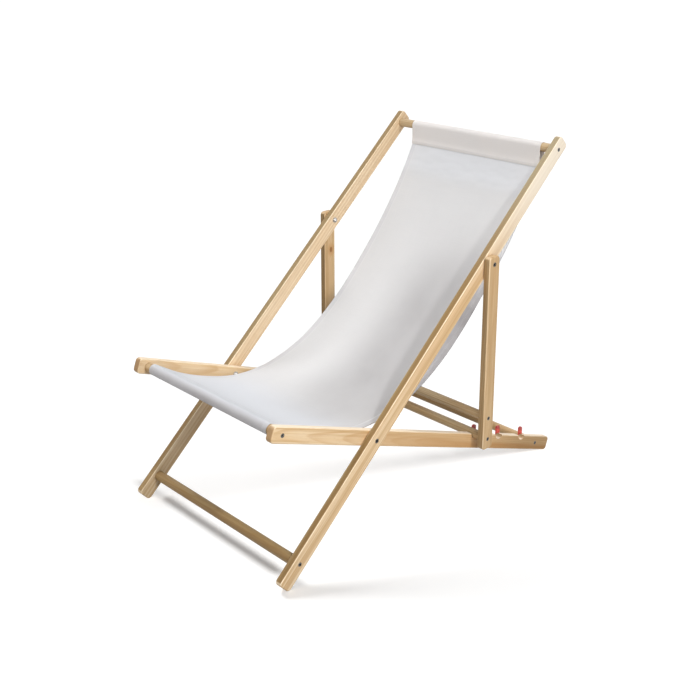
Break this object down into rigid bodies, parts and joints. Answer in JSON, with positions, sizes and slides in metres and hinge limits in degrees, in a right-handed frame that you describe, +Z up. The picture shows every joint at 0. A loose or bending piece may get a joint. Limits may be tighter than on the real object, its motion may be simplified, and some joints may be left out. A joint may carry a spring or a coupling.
{
  "type": "deck chair",
  "caption": "Folding wooden sling deck chair: a canvas sling between two crossing pine frames, propped by a notched third frame.",
  "frame": {"origin": "on the ground, under the middle of the chair's box", "axes": "+Z up, +Y towards the back of the chair (the sitter faces -Y), +X to the sitter's left"},
  "size_m": [0.6004, 0.9766, 0.8762],
  "materials": {
    "pine": "clear satin varnish",
    "canvas": "plain woven, off-white",
    "steel": "zinc plated",
    "red_plastic": "moulded, satin"
  },
  "bodies": {
    "long_frame": {"long_rail_right": "pine", "long_rail_left": "pine", "top_dowel": "pine", "foot_stretcher": "pine", "long_frame_screws": "steel", "seat_pivot_bolt_right": "steel", "seat_pivot_bolt_left": "steel", "seat_pivot_nut_right": "steel", "seat_pivot_nut_left": "steel", "seat_pivot_washers": "steel", "prop_pivot_bolt_right": "steel", "prop_pivot_bolt_left": "steel", "prop_pivot_nut_right": "steel", "prop_pivot_nut_left": "steel", "prop_pivot_washers": "steel", "canvas_sling": "canvas"},
    "seat_frame": {"seat_rail_right": "pine", "seat_rail_left": "pine", "seat_front_dowel": "pine", "seat_rear_bar": "pine", "seat_frame_screws": "steel", "stop_tabs_right": "red_plastic", "stop_tabs_left": "red_plastic", "stop_tab_screws": "steel"},
    "prop_frame": {"prop_leg_right": "pine", "prop_leg_left": "pine", "prop_upper_bar": "pine", "prop_lower_bar": "pine", "prop_frame_screws": "steel"}
  },
  "joints": [
    {"name": "frame_fold", "type": "hinge", "parent": "seat_frame", "child": "long_frame", "pos_m": [0, -0.19845, 0.26559], "axis": [1, 0, 0], "range_deg": [0, 111], "deforming": ["canvas_sling"]},
    {"name": "prop_swing", "type": "hinge", "parent": "long_frame", "child": "prop_frame", "pos_m": [0, 0.17255, 0.60674], "axis": [1, 0, 0], "range_deg": [-42.7, 0]}
  ],
  "couplings": [
    {"joint": "prop_swing", "follows": "frame_fold", "ratio": -0.38}
  ]
}
